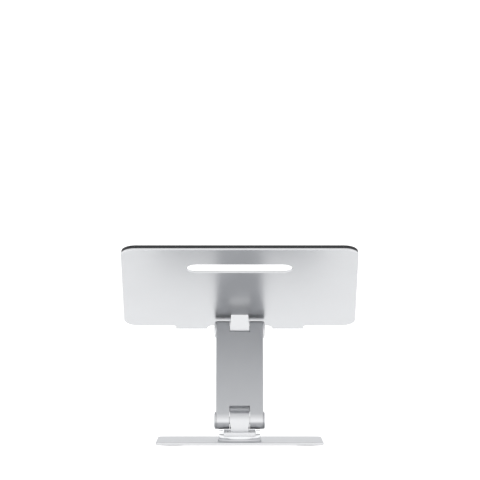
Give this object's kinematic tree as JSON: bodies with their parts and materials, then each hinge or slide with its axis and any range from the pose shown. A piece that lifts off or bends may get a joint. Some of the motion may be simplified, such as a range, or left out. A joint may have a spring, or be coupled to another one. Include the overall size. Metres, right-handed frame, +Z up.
{
  "type": "laptop stand",
  "caption": "Folding laptop stand: square base plate, turntable, leaning arm with friction hinges at both ends, and a slotted tray with bent front lips and silicone pads.",
  "frame": {"origin": "centre of the base plate at the desk surface", "axes": "+Z up, -Y towards the user (the tray's front lips), +X to the user's right"},
  "size_m": [0.2434, 0.1997, 0.2049],
  "materials": {
    "anodised_aluminium": "bead-blasted and clear anodised, satin",
    "polished_aluminium": "turned and polished",
    "steel": "zinc-plated",
    "nylon": "moulded",
    "silicone": "matte moulded",
    "foot_rubber": "matte moulded"
  },
  "bodies": {
    "base": {"base_plate": "anodised_aluminium", "base_foot_front_left": "foot_rubber", "base_foot_front_right": "foot_rubber", "base_foot_rear_left": "foot_rubber", "base_foot_rear_right": "foot_rubber", "swivel_flange": "anodised_aluminium", "swivel_ring": "polished_aluminium", "swivel_slip_ring": "nylon", "ring_screw_1": "steel", "ring_screw_2": "steel", "ring_screw_3": "steel"},
    "turntable": {"turntable_disc": "polished_aluminium", "lower_bracket": "anodised_aluminium", "lower_hinge_sleeve": "nylon", "swivel_disc_spring_1": "steel", "swivel_disc_spring_2": "steel", "swivel_washer": "steel", "swivel_bolt": "steel"},
    "arm": {"arm_plate": "anodised_aluminium", "lower_hinge_pin": "steel", "lower_hinge_washer": "steel", "lower_hinge_disc_spring_1": "steel", "lower_hinge_disc_spring_2": "steel", "lower_hinge_nut": "steel", "lower_hinge_cap_left": "anodised_aluminium", "lower_hinge_cap_right": "anodised_aluminium", "upper_hinge_pin": "steel", "upper_hinge_washer": "steel", "upper_hinge_disc_spring_1": "steel", "upper_hinge_disc_spring_2": "steel", "upper_hinge_nut": "steel", "upper_hinge_cap_left": "anodised_aluminium", "upper_hinge_cap_right": "anodised_aluminium"},
    "tray": {"tray_plate": "anodised_aluminium", "tray_screw_front_left": "steel", "tray_screw_front_right": "steel", "tray_screw_rear_left": "steel", "tray_screw_rear_right": "steel", "upper_bracket": "anodised_aluminium", "upper_hinge_sleeve": "nylon", "rear_pad": "silicone", "front_pad_left": "silicone", "front_pad_right": "silicone", "lip_pad_left": "silicone", "lip_pad_right": "silicone"}
  },
  "joints": [
    {"name": "swivel", "type": "hinge", "parent": "base", "child": "turntable", "pos_m": [0, 0.04, 0.0097], "axis": [0, 0, 1], "continuous": true},
    {"name": "arm_lift", "type": "hinge", "parent": "turntable", "child": "arm", "pos_m": [0, 0.04, 0.0243], "axis": [-1, 0, 0], "range_deg": [-39.4, 20.6]},
    {"name": "tray_tilt", "type": "hinge", "parent": "arm", "child": "tray", "pos_m": [0, -0.07127, 0.1157], "axis": [1, 0, 0], "range_deg": [-58, 66.6]}
  ]
}
